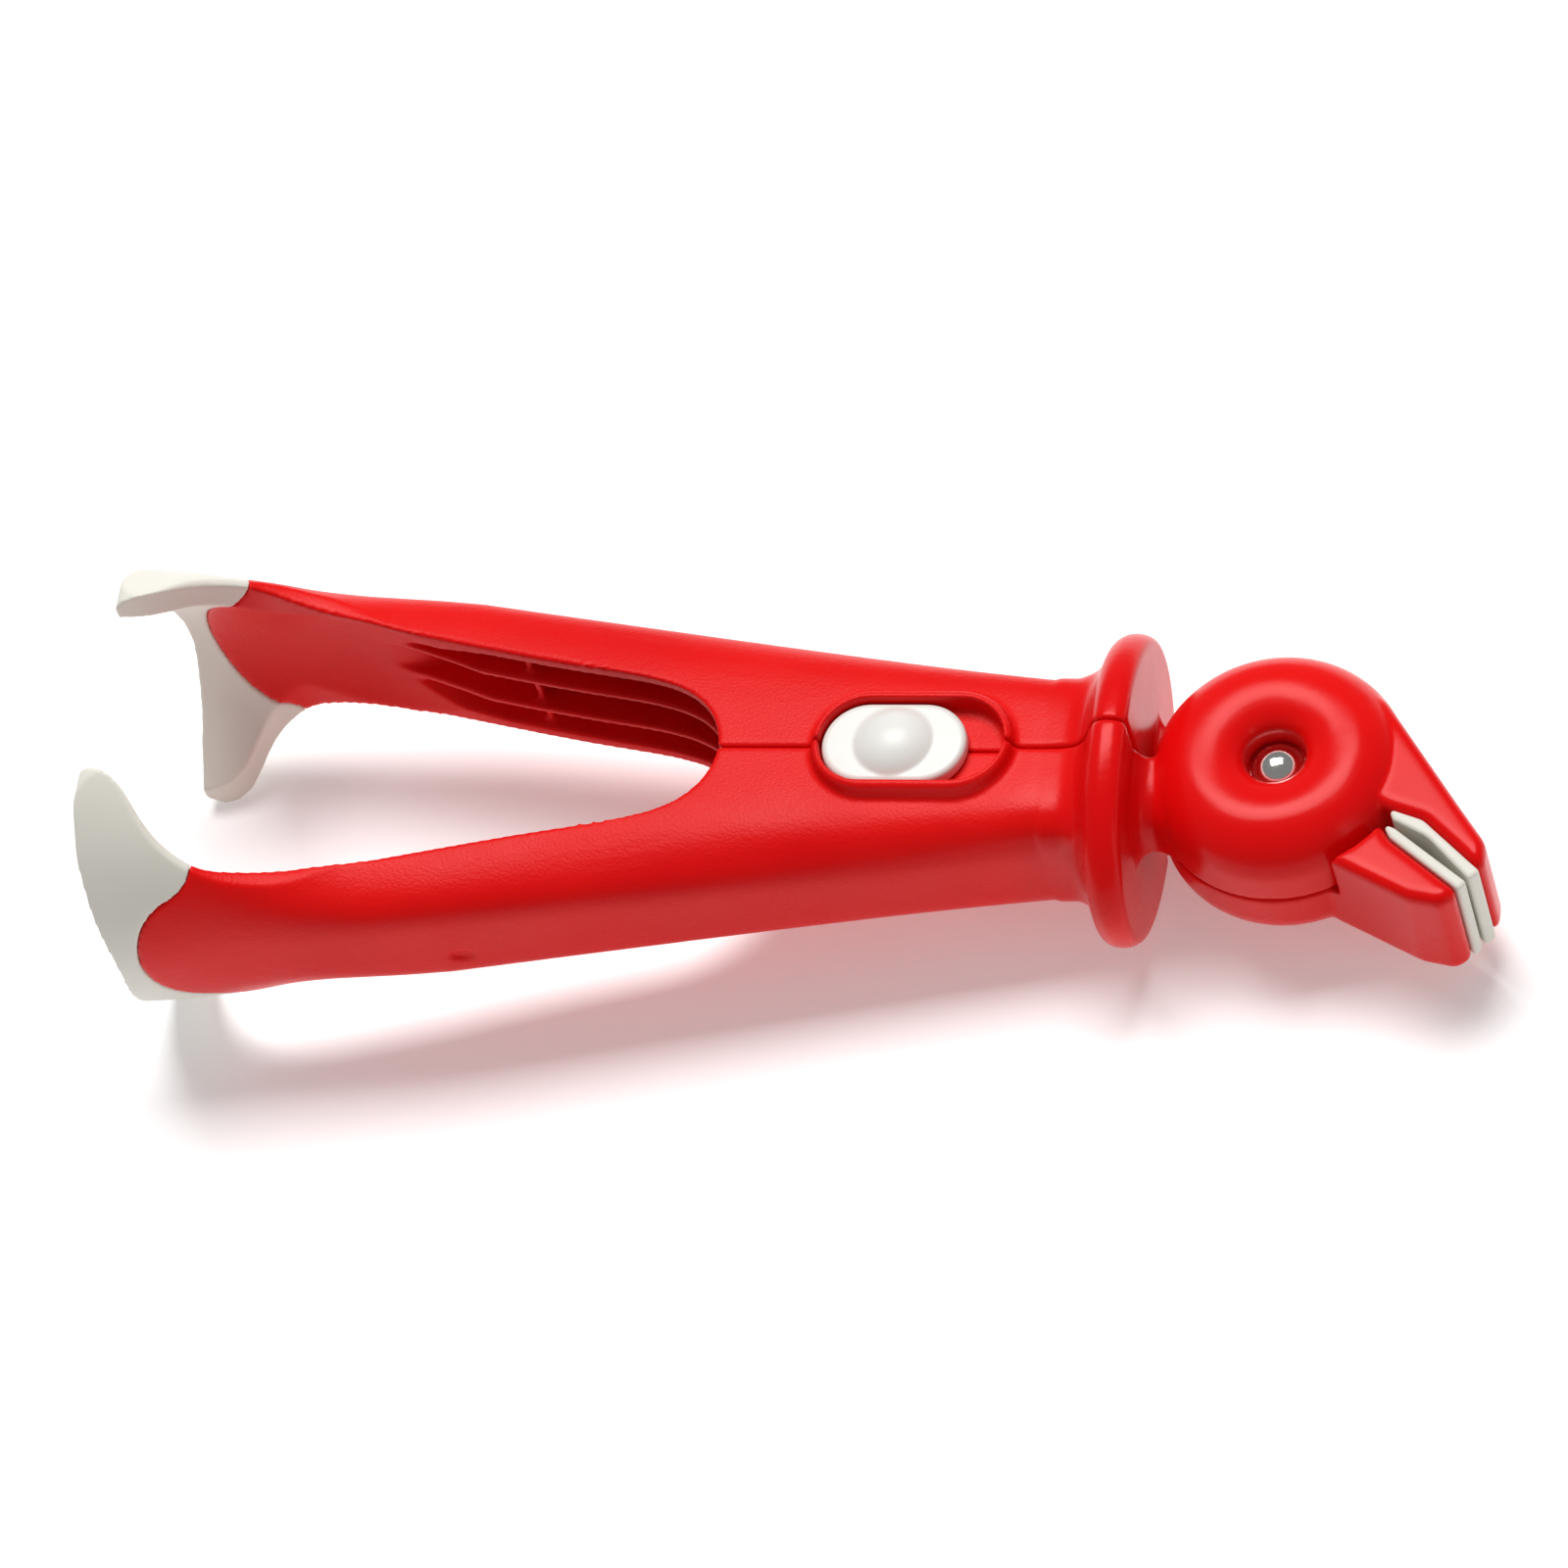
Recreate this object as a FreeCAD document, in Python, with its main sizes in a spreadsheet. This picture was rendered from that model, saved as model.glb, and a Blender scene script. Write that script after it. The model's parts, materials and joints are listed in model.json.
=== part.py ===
import FreeCAD, Part
import math
import os

import Sketcher
from FreeCAD import Placement, Rotation, Vector

# Plier-type ring-pull can opener, millimetres.
#
# Two moulded levers cross at a round head. The front lever holds the lower leg (-Y), the front
# disc (+Z) and the upper jaw. The rear lever holds the upper leg (+Y), the rear disc (-Z) and
# the lower jaw. They are split at Y = 0 along the grip and at Z = 0 in the head.
#
# Working frame: pivot centre at the origin, +X towards the beak, +Y towards the upper leg,
# +Z towards the thumb slider. BASE shifts everything to the middle of the lowest level.

os.makedirs("parts", exist_ok=True)
doc = FreeCAD.newDocument("can_opener")

# ---------------------------------------------------------------- driving dimensions

SIZES = {
    # overall
    "foot_end_x": -166.6,
    "beak_end_x": 30.6,
    "lowest_z": -26.9,
    # levers
    "seam_gap": 0.1,
    "wall": 1.9,
    "grip_half_depth": 11.0,
    "rib_thickness": 1.2,
    "rib_offset": 3.6,
    "cross_rib_x": -110.5,
    "cross_rib_drop": 1.5,
    # head
    "disc_radius": 18.0,
    "disc_crest_radius": 10.2,
    "disc_crest_z": 11.8,
    "disc_flank_z": 4.3,
    "eye_radius": 4.3,
    "eye_lip_z": 8.2,
    "eye_floor_z": 5.4,
    "jaw_half_depth": 9.0,
    "jaw_clearance_radius": 19.1,
    "jaw_edge_radius": 1.6,
    # slider track
    "track_centre_x": -50.8,
    "rim_length": 30.0,
    "rim_width": 17.8,
    "rim_crest_width": 15.8,
    "rim_top_z": 13.3,
    "rim_round": 0.8,
    "pocket_length": 26.4,
    "pocket_width": 13.6,
    "pocket_floor_z": 9.9,
    "track_plate_z": 8.4,
    "track_plate_length": 33.0,
    "track_plate_width": 19.0,
    "slot_front_x": -45.2,
    "slot_back_x": -56.6,
    "slot_near_y": -1.05,
    "slot_far_y": -3.75,
    # pivot rivet
    "rivet_bore_radius": 3.05,
    "rivet_radius": 3.0,
    "rivet_head_radius": 3.9,
    "rivet_head_z": 5.45,
    "rivet_rim_z": 6.2,
    "rivet_dome_radius": 4.6,
    "rivet_dome_angle": 32.0,
    "rivet_dome_centre_z": 3.75,
    "rivet_tail_z": -6.0,
    "cap_base_z": -5.5,
    "cap_rim_z": -7.0,
    "cap_bore_z": -6.05,
    "cap_dome_centre_z": -4.55,
    "washer_inner_radius": 3.1,
    "washer_outer_radius": 5.6,
    "washer_half_thickness": 0.3,
    "washer_seat_radius": 5.7,
    "washer_seat_depth": 0.4,
    # oval mark on the lower leg
    "dimple_x": -114.8,
    "dimple_side_y": 26.55,
    "dimple_z": -2.6,
    "dimple_length": 4.6,
    "dimple_width": 2.4,
    "dimple_depth": 0.6,
    # opening spring
    "spring_wire_radius": 0.65,
    "spring_radius": 8.5,
    "spring_pitch": 1.55,
    "spring_half_height": 3.1,
    "spring_tail": 2.4,
    "spring_bend_radius": 1.3,
    "spring_well_inner": 7.2,
    "spring_well_outer": 9.8,
    "spring_well_depth": 4.1,
    "spring_hole_radius": 0.85,
    # thumb slider
    "slider_travel": 5.2,
    "button_centre_x": -53.4,
    "button_length": 20.7,
    "button_width": 13.0,
    "button_base_z": 10.05,
    "button_thickness": 2.25,
    "button_round": 0.9,
    "button_dome_radius": 8.0,
    "button_dome_angle": 45.3,
    "button_dome_drop": 3.44,
    "stem_left": -2.9,
    "stem_far": -3.5,
    "stem_depth": 1.85,
    "stem_length": 5.0,
    "stem_width": 2.2,
    "stem_height": 1.9,
    "screw_offset_x": -0.4,
    "screw_offset_y": -2.4,
    "screw_hole_radius": 0.7,
    "screw_hole_depth": 3.8,
    "keeper_left": -5.0,
    "keeper_far": -5.5,
    "keeper_length": 9.0,
    "keeper_width": 5.2,
    "keeper_base_z": 6.8,
    "keeper_thickness": 1.4,
    "keeper_hole_radius": 0.8,
    "screw_radius": 0.65,
    "screw_head_radius": 1.5,
    "screw_head_base_z": 5.7,
    "screw_head_top_z": 6.8,
    "screw_tip_z": 11.8,
    "screw_socket_radius": 0.6,
    "screw_socket_z": 6.3,
    # latch
    "latch_base_z": 5.3,
    "latch_height": 1.5,
    "latch_web_left": -58.6,
    "latch_web_right": -58.0,
    "latch_tab_right": -56.2,
    "latch_tab_low": -5.0,
    "latch_tab_high": -0.6,
    "latch_arm_tip": -62.4,
    "latch_arm_outer_low": 0.9,
    "latch_arm_inner_low": 1.4,
    "latch_arm_inner_high": 3.4,
    "latch_arm_outer_high": 3.9,
    "pin_centre_x": -60.6,
    "pin_centre_y": 2.4,
    "pin_radius": 0.8,
    "pin_base_z": 3.2,
    "pin_length": 6.2,
    # detent
    "detent_offset_x": 0.0,
    "detent_offset_y": -4.7,
    "ball_radius": 0.75,
    "ball_centre_z": 10.35,
    "detent_bore_radius": 0.85,
    "detent_bore_depth": 2.25,
    "detent_wire_radius": 0.25,
    "detent_coil_radius": 0.5,
    "detent_pitch": 0.62,
    "detent_coil_base_z": 11.38,
    "detent_coil_height": 0.62,
    # foot grips
    "foot_core_inner": 27.2,
    "foot_core_outer": 28.8,
    "foot_core_half_depth": 14.0,
    "foot_core_end_x": -163.2,
}

sheet = doc.addObject("Spreadsheet::Sheet", "Sizes")
for row, (alias, amount) in enumerate(SIZES.items(), start=1):
    sheet.set(f"A{row}", alias)
    sheet.set(f"B{row}", str(amount))
    sheet.setAlias(f"B{row}", alias)
doc.recompute()


def dim(cell):
    """The number in a cell of the sheet; a leading minus turns its sign, and "0" is zero."""
    if cell == "0":
        return 0.0
    sign = -1.0 if cell.startswith("-") else 1.0
    return sign * float(getattr(sheet, cell.lstrip("-")))


def bound(cell):
    """The same cell as an expression."""
    return cell.replace("-", "-Sizes.") if cell.startswith("-") else "Sizes." + cell


BASE = Vector(-(dim("foot_end_x") + dim("beak_end_x")) / 2, 0, -dim("lowest_z"))
SEAM = dim("seam_gap") / 2
FAR = 60.0
BALL_GAP = 0.1
PIN_GAP = 0.02
TAIL_GAP = 0.2
SPRING_SPANS = 8

# ---------------------------------------------------------------- parametric helpers


def new_body(label, place=Vector(0, 0, 0)):
    """An empty body at a place given in the working frame."""
    body = doc.addObject("PartDesign::Body", label)
    body.Label = label
    body.Placement = Placement(BASE + place, Rotation())
    return body


def origin_plane(body, role):
    return [part for part in body.Origin.OriginFeatures if part.Role == role][0]


def new_sketch(body, name, role="XY_Plane", level=None):
    """A sketch on one of the body's origin planes, raised to a level held in a cell."""
    sketch = body.newObject("Sketcher::SketchObject", name)
    sketch.AttachmentSupport = [(origin_plane(body, role), "")]
    sketch.MapMode = "FlatFace"
    if level:
        sketch.setExpression("AttachmentOffset.Base.z", bound(level))
    return sketch


def fix(sketch, kind, cell, *where):
    """A dimension of the sketch, bound to a cell."""
    index = sketch.addConstraint(Sketcher.Constraint(kind, *where, dim(cell)))
    sketch.setExpression(f"Constraints[{index}]", bound(cell))


def draw_outline(sketch, corners):
    """A closed outline of straight lines; each corner is a pair of cells."""
    places = [Vector(dim(across), dim(up), 0) for across, up in corners]
    count = len(places)
    for index in range(count):
        line = Part.LineSegment(places[index], places[(index + 1) % count])
        sketch.addGeometry(line, False)
    for index in range(count):
        sketch.addConstraint(Sketcher.Constraint("Coincident", index, 2, (index + 1) % count, 1))
    for index, (across, up) in enumerate(corners):
        if across == "0":
            sketch.addConstraint(Sketcher.Constraint("PointOnObject", index, 1, -2))
        else:
            fix(sketch, "DistanceX", across, -1, 1, index, 1)
        if up == "0":
            sketch.addConstraint(Sketcher.Constraint("PointOnObject", index, 1, -1))
        else:
            fix(sketch, "DistanceY", up, -1, 1, index, 1)


def draw_circle(sketch, radius):
    sketch.addGeometry(Part.Circle(Vector(0, 0, 0), Vector(0, 0, 1), dim(radius)), False)
    sketch.addConstraint(Sketcher.Constraint("Coincident", 0, 3, -1, 1))
    fix(sketch, "Radius", radius, 0)


def spin(body, name, corners):
    """A solid of revolution about Z; the corners are (radius, height) cells."""
    sketch = new_sketch(body, name + "_profile", "XZ_Plane")
    draw_outline(sketch, corners)
    turned = body.newObject("PartDesign::Revolution", name)
    turned.Profile = sketch
    turned.ReferenceAxis = (sketch, ["V_Axis"])
    turned.Angle = 360
    return turned


def pad(body, name, sketch, length):
    padded = body.newObject("PartDesign::Pad", name)
    padded.Profile = sketch
    padded.setExpression("Length", bound(length))
    return padded


def add_primitive(body, kind, name, place, turned_over=False, **sizes):
    """A PartDesign primitive on the body's XY plane; its place and sizes are bound to cells."""
    solid = body.newObject("PartDesign::" + kind, name)
    solid.AttachmentSupport = [(origin_plane(body, "XY_Plane"), "")]
    solid.MapMode = "FlatFace"
    if turned_over:
        solid.AttachmentOffset = Placement(Vector(0, 0, 0), Rotation(Vector(1, 0, 0), 180))
    for axis, cell in zip("xyz", place):
        if cell != "0":
            solid.setExpression("AttachmentOffset.Base." + axis, bound(cell))
    for size, cell in sizes.items():
        solid.setExpression(size, bound(cell))
    return solid


def add_dome(body, name, radius, angle, centre_z, turned_over=False):
    """A spherical cap: the part of a ball above a latitude."""
    add_primitive(
        body, "AdditiveSphere", name, ("0", "0", centre_z), turned_over, Radius=radius, Angle1=angle
    )


def computed(label, shape, place=Vector(0, 0, 0)):
    """A feature that holds a worked-out shape, set down at a place in the working frame."""
    feature = doc.addObject("Part::Feature", label)
    feature.Label = label
    feature.Shape = shape
    feature.Placement = Placement(BASE + place, Rotation())
    return feature


# ---------------------------------------------------------------- shape helpers


def box(low, high):
    low, high = Vector(*low), Vector(*high)
    size = high - low
    return Part.makeBox(size.x, size.y, size.z, low)


def rod(radius, start_z, end_z, x=0.0, y=0.0):
    return Part.makeCylinder(radius, end_z - start_z, Vector(x, y, start_z))


SECTION_POINTS = 48


def oval(x, half_width, half_depth, squareness):
    """A closed section across X: an ellipse at squareness 2, a soft-cornered box above it."""
    points = []
    for index in range(SECTION_POINTS):
        angle = 2 * math.pi * (index + 0.5) / SECTION_POINTS
        across, up = math.cos(angle), math.sin(angle)
        reach = (abs(across) ** squareness + abs(up) ** squareness) ** (-1 / squareness)
        points.append(Vector(x, half_width * reach * across, half_depth * reach * up))
    curve = Part.BSplineCurve()
    curve.interpolate(Points=points, PeriodicFlag=True)
    return Part.Wire([curve.toShape()])


def blended(stations, x):
    """The section at x: a cubic curve through the stations' numbers that never overshoots."""
    places = [station[0] for station in stations]
    last = len(stations) - 2
    index = min(sum(1 for place in places[1:-1] if place >= x), last)
    span = places[index + 1] - places[index]
    share = (x - places[index]) / span

    def slope(column, knot):
        if knot in (0, last + 1):
            near = 0 if knot == 0 else last
            return (stations[near + 1][column] - stations[near][column]) / (places[near + 1] - places[near])
        before = (stations[knot][column] - stations[knot - 1][column]) / (places[knot] - places[knot - 1])
        after = (stations[knot + 1][column] - stations[knot][column]) / (places[knot + 1] - places[knot])
        return 0.0 if before * after <= 0 else 2 * before * after / (before + after)

    numbers = [x]
    for column in (1, 2, 3):
        low, high = stations[index][column], stations[index + 1][column]
        rise_low, rise_high = slope(column, index) * span, slope(column, index + 1) * span
        square, cube = share ** 2, share ** 3
        value = low * (2 * cube - 3 * square + 1) + rise_low * (cube - 2 * square + share)
        value += high * (3 * square - 2 * cube) + rise_high * (cube - square)
        numbers.append(value)
    return numbers


def loft(stations, step, ruled=False):
    """A solid through sections a step apart, which follow the stations smoothly."""
    start, end = stations[0][0], stations[-1][0]
    count = max(1, round(abs(end - start) / step))
    sections = [blended(stations, start + (end - start) * index / count) for index in range(count + 1)]
    return Part.makeLoft([oval(*section) for section in sections], True, ruled or count == 1)


def smooth_edge(points):
    curve = Part.BSplineCurve()
    curve.interpolate(Points=points)
    return curve.toShape()


def closed_face(edges):
    return Part.Face(Part.Wire(Part.__sortEdges__(edges)))


def rounded_outline(corners, z):
    """A closed outline of lines and tangent arcs; each corner is (x, y, radius)."""
    count = len(corners)
    edges = []
    starts = []
    ends = []
    for index, (x, y, radius) in enumerate(corners):
        here = Vector(x, y, z)
        before = Vector(corners[index - 1][0], corners[index - 1][1], z)
        after = Vector(corners[(index + 1) % count][0], corners[(index + 1) % count][1], z)
        back = (before - here).normalize()
        forth = (after - here).normalize()
        half = back.getAngle(forth) / 2
        reach = radius / math.tan(half)
        start, end = here + back * reach, here + forth * reach
        starts.append(start)
        ends.append(end)
        if radius > 0:
            middle = here + (back + forth).normalize() * (radius / math.sin(half) - radius)
            edges.append(Part.Arc(start, middle, end).toShape())
    for index in range(count):
        edges.append(Part.LineSegment(ends[index - 1], starts[index]).toShape())
    return closed_face(edges)


def stadium(centre_x, length, width, z):
    """A long hole's outline: two half circles joined by lines."""
    radius = width / 2
    reach = length / 2 - radius
    right, left = centre_x + reach, centre_x - reach
    edges = [
        Part.LineSegment(Vector(left, radius, z), Vector(right, radius, z)).toShape(),
        Part.Arc(Vector(right, radius, z), Vector(right + radius, 0, z), Vector(right, -radius, z)).toShape(),
        Part.LineSegment(Vector(right, -radius, z), Vector(left, -radius, z)).toShape(),
        Part.Arc(Vector(left, -radius, z), Vector(left - radius, 0, z), Vector(left, radius, z)).toShape(),
    ]
    return Part.Wire(edges)


def edges_at(shape, level):
    """The shape's edges that lie wholly in the plane z = level."""
    found = []
    for edge in shape.Edges:
        low, high = edge.BoundBox.ZMin, edge.BoundBox.ZMax
        if abs(low - level) < 1e-4 and abs(high - level) < 1e-4:
            found.append(edge)
    return found


def flipped(shape):
    """Turned half a turn about X: the front lever's shapes become the rear lever's."""
    turned = shape.copy()
    turned.rotate(Vector(0, 0, 0), Vector(1, 0, 0), 180)
    return turned


# ---------------------------------------------------------------- grip: both legs as one

DEPTH = dim("grip_half_depth")
FOOT_STEP = 3.0
FLANGE_STEP = 0.4
NECK_STEP = 0.6
WALL = dim("wall")

# stations along X: x, half width (Y), half depth (Z), squareness
# the tapered grip is straight as far as the calves
GRIP_OUTER = [(-22.0, 12.4, DEPTH, 5.0), (-118.0, 27.05, DEPTH, 5.0)]
GRIP_HOLLOW = [(-31.0, 13.8 - WALL, DEPTH - WALL, 4.0), (-116.0, 26.75 - WALL, DEPTH - WALL, 4.0)]
# outer skin from the calf to the foot
FOOT_OUTER = [
    (-118.0, 27.05, DEPTH, 5.0),
    (-127.0, 28.0, 11.3, 4.6),
    (-135.0, 28.5, 13.3, 3.7),
    (-142.0, 28.9, 17.6, 2.9),
    (-148.0, 29.4, 23.4, 2.4),
    (-154.0, 30.0, 28.0, 2.1),
    (-160.0, 30.6, 30.4, 2.0),
    (-171.0, 31.3, 31.3, 2.0),
]
# the hollow of the channel runs out in the smooth inside of the foot
FOOT_HOLLOW = [
    (-116.0, 26.75 - WALL, DEPTH - WALL, 4.0),
    (-123.0, 24.1, 8.9, 3.4),
    (-130.0, 23.0, 8.6, 3.0),
    (-139.0, 22.4, 8.2, 2.8),
]
# the smooth inside of the legs and feet
SPOON = [
    (-114.0, 15.6, 24.0, 2.0),
    (-124.0, 19.6, 24.2, 2.0),
    (-132.0, 22.3, 24.6, 2.0),
    (-140.0, 24.2, 25.0, 2.0),
    (-150.0, 25.3, 25.5, 2.0),
    (-160.0, 26.0, 26.0, 2.0),
    (-172.0, 26.8, 26.8, 2.0),
]
# the flange's rounded rim and the flare behind it, as far as the grip
FLANGE = [
    (-19.4, 22.1, 17.4, 2.0),
    (-19.8, 22.55, 17.85, 2.0),
    (-21.0, 23.1, 18.4, 2.0),
    (-22.2, 23.2, 18.5, 2.0),
    (-23.4, 22.85, 18.15, 2.0),
    (-24.4, 21.8, 17.1, 2.1),
    (-25.0, 20.3, 15.8, 2.2),
    (-25.6, 18.2, 14.2, 2.5),
    (-26.4, 16.3, 12.8, 3.0),
    (-27.6, 14.9, 11.7, 4.0),
    (-29.4, 14.0, 11.2, 4.6),
    (-32.0, 13.95, 11.02, 5.0),
]
# bridge from the flange to a disc, filleted at both ends
NECK = [
    (-12.0, 12.6, 10.2, 2.6),
    (-14.2, 11.6, 9.7, 2.8),
    (-15.6, 10.7, 9.0, 3.0),
    (-16.6, 10.4, 8.8, 3.0),
    (-17.6, 10.6, 8.9, 3.0),
    (-18.6, 11.4, 9.6, 2.8),
    (-19.3, 12.9, 11.0, 2.6),
    (-20.6, 13.4, 11.4, 2.6),
]
# inner edge of the leg above the gap, from the crotch to the foot
GAP_EDGE = [
    (-79.0, 0.0),
    (-79.5, 3.0),
    (-81.0, 6.0),
    (-84.0, 8.9),
    (-89.0, 11.1),
    (-100.0, 13.4),
    (-114.0, 16.2),
    (-129.0, 19.5),
    (-139.0, 21.6),
    (-145.5, 22.9),
    (-150.3, 23.4),
    (-153.0, 22.6),
    (-155.7, 21.0),
    (-158.0, 18.6),
    (-160.0, 16.2),
    (-162.4, 14.6),
    (-166.0, 13.8),
    (-172.0, 13.4),
]
# side edge of the foot, from the leg round the wing tip to the middle of the base
FOOT_EDGE = [
    (-124.0, 11.4),
    (-133.0, 11.5),
    (-140.0, 12.1),
    (-145.5, 13.6),
    (-150.3, 15.8),
    (-153.0, 17.6),
    (-155.7, 20.0),
    (-158.0, 23.0),
    (-159.7, 25.3),
    (-161.4, 26.6),
    (-163.6, 26.8),
    (-165.7, 25.8),
    (-166.8, 23.6),
    (-166.5, 18.0),
    (-165.6, 10.0),
    (-164.7, 0.0),
]
# border between the red leg and its foot grip, from the side edge to the tip of the tongue
GRIP_EDGE = [
    (-150.2, 20.5),
    (-150.4, 17.5),
    (-151.0, 15.4),
    (-152.4, 13.6),
    (-155.8, 11.6),
    (-158.8, 8.6),
    (-160.6, 4.5),
    (-161.2, 0.0),
]


def gap_cutter(shift=0.0):
    """The open wedge between the legs, cut right through; a shift widens it on each side."""
    start = GAP_EDGE[::-1]
    points = [Vector(x, y + shift, -FAR) for x, y in start[:-1]]
    points.append(Vector(GAP_EDGE[0][0] + shift, 0, -FAR))
    points += [Vector(x, -y - shift, -FAR) for x, y in GAP_EDGE[1:]]
    edge = smooth_edge(points)
    close = Part.LineSegment(points[-1], points[0]).toShape()
    return closed_face([edge, close]).extrude(Vector(0, 0, 2 * FAR))


def foot_envelope():
    """Everything inside the side edges of the foot, as seen along Y."""
    near = [Vector(x, -FAR, z) for x, z in FOOT_EDGE]
    far = [Vector(x, -FAR, -z) for x, z in FOOT_EDGE[-2::-1]]
    shoulder_x = FOOT_EDGE[0][0]
    corners = [far[-1], Vector(shoulder_x, -FAR, -FAR), Vector(0, -FAR, -FAR)]
    corners += [Vector(0, -FAR, FAR), Vector(shoulder_x, -FAR, FAR), near[0]]
    edges = [smooth_edge(near + far)]
    for first, second in zip(corners, corners[1:]):
        edges.append(Part.LineSegment(first, second).toShape())
    return closed_face(edges).extrude(Vector(0, 2 * FAR, 0))


def grip_cutter():
    """Everything on the foot's side of the border between leg and foot grip."""
    near = [Vector(x, -FAR, z) for x, z in GRIP_EDGE]
    far = [Vector(x, -FAR, -z) for x, z in GRIP_EDGE[-2::-1]]
    corners = [far[-1], Vector(GRIP_EDGE[0][0], -FAR, -FAR), Vector(-190, -FAR, -FAR)]
    corners += [Vector(-190, -FAR, FAR), Vector(GRIP_EDGE[0][0], -FAR, FAR), near[0]]
    edges = [smooth_edge(near + far)]
    for first, second in zip(corners, corners[1:]):
        edges.append(Part.LineSegment(first, second).toShape())
    return closed_face(edges).extrude(Vector(0, 2 * FAR, 0))


def slider_rim():
    centre = dim("track_centre_x")
    base = stadium(centre, dim("rim_length"), dim("rim_width"), DEPTH - 1)
    inset = dim("rim_width") - dim("rim_crest_width")
    top = stadium(centre, dim("rim_length") - inset, dim("rim_crest_width"), dim("rim_top_z"))
    rim = Part.makeLoft([base, top], True, True)
    return rim.makeFillet(dim("rim_round"), edges_at(rim, dim("rim_top_z")))


def pocket():
    floor = dim("pocket_floor_z")
    wire = stadium(dim("track_centre_x"), dim("pocket_length"), dim("pocket_width"), floor)
    return Part.Face(wire).extrude(Vector(0, 0, 10))


def track_plate():
    centre = dim("track_centre_x")
    wire = stadium(centre, dim("track_plate_length"), dim("track_plate_width"), dim("track_plate_z"))
    return Part.Face(wire).extrude(Vector(0, 0, 2.0))


def make_grip():
    outer = loft(GRIP_OUTER, FAR * 2)
    foot = loft(FOOT_OUTER, FOOT_STEP)
    skin = outer.fuse([foot, loft(FLANGE, FLANGE_STEP, True), slider_rim()])
    hollow = loft(GRIP_HOLLOW, FAR * 2).fuse(loft(FOOT_HOLLOW, FOOT_STEP))
    half = dim("rib_thickness") / 2
    ribs = []
    for side in (-1, 1):
        middle = side * dim("rib_offset")
        ribs.append(box((-136, -FAR, middle - half), (-30, FAR, middle + half)))
    start = dim("cross_rib_x")
    cross = box((start - half, -FAR, -FAR), (start + half, FAR, FAR)).cut(gap_cutter(dim("cross_rib_drop")))
    hollow = hollow.cut(ribs + [cross, track_plate()])
    gap = gap_cutter()
    shell = skin.cut([hollow, pocket(), gap, loft(SPOON, FOOT_STEP)])
    standing = box((dim("foot_end_x"), -FAR, -FAR), (0, FAR, FAR))
    return shell.common(foot_envelope()).common(standing)


# ---------------------------------------------------------------- head


def head_disc():
    """The front disc: a doughnut-shaped cheek with a dimple for the pivot rivet."""
    crest_r, crest_z = dim("disc_crest_radius"), dim("disc_crest_z")
    rim_r, flank_z = dim("disc_radius"), dim("disc_flank_z")
    eye_r, lip_z = dim("eye_radius"), dim("eye_lip_z")
    near = SEAM
    floor_z = dim("eye_floor_z")
    steps = 6
    inner = []
    outer = []
    for index in range(steps + 1):
        turn = math.pi / 2 * index / steps
        across = crest_r - (crest_r - eye_r) * math.cos(turn)
        inner.append(Vector(across, 0, lip_z + (crest_z - lip_z) * math.sin(turn)))
        across = crest_r + (rim_r - crest_r) * math.sin(turn)
        outer.append(Vector(across, 0, flank_z + (crest_z - flank_z) * math.cos(turn)))
    bore = dim("rivet_bore_radius")
    corners = [outer[-1], Vector(rim_r, 0, near), Vector(bore, 0, near), Vector(bore, 0, floor_z)]
    corners += [Vector(eye_r, 0, floor_z), inner[0]]
    edges = [smooth_edge(inner + outer[1:])]
    for first, second in zip(corners, corners[1:]):
        edges.append(Part.LineSegment(first, second).toShape())
    cheek = closed_face(edges).revolve(Vector(0, 0, 0), Vector(0, 0, 1), 360)
    return cheek


def tail_offset():
    """How far round the bend at each end of the opening spring carries its tail."""
    climb = math.atan(dim("spring_pitch") / (math.tau * dim("spring_radius")))
    return dim("spring_bend_radius") * (1 - math.sin(climb))


def leg_dimple():
    """Shallow oval finger mark in the outer side of the lower leg."""
    stretch = FreeCAD.Matrix()
    stretch.scale(dim("dimple_length") / 2, dim("dimple_depth"), dim("dimple_width") / 2)
    mark = Part.makeSphere(1.0).transformGeometry(stretch)
    mark.translate(Vector(dim("dimple_x"), -dim("dimple_side_y"), dim("dimple_z")))
    return mark


def head_hollows():
    """What is cut from each head half: spring well, hole for the spring's tail, rivet bore."""
    depth = dim("spring_well_depth")
    well = rod(dim("spring_well_outer"), 0, depth).cut(rod(dim("spring_well_inner"), 0, depth))
    tail_depth = dim("spring_half_height") + dim("spring_tail") + TAIL_GAP
    tail = rod(dim("spring_hole_radius"), 0, tail_depth, dim("spring_radius"), tail_offset())
    return [well, tail, rod(dim("rivet_bore_radius"), -1, 20)]


def jaw(corners, clearance):
    """A jaw of full depth, its faces rounded over, kept clear of the other lever's disc."""
    half = dim("jaw_half_depth")
    block = rounded_outline(corners, -half).extrude(Vector(0, 0, 2 * half))
    rounded = block.makeFillet(dim("jaw_edge_radius"), edges_at(block, half) + edges_at(block, -half))
    return rounded.cut(clearance)


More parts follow.
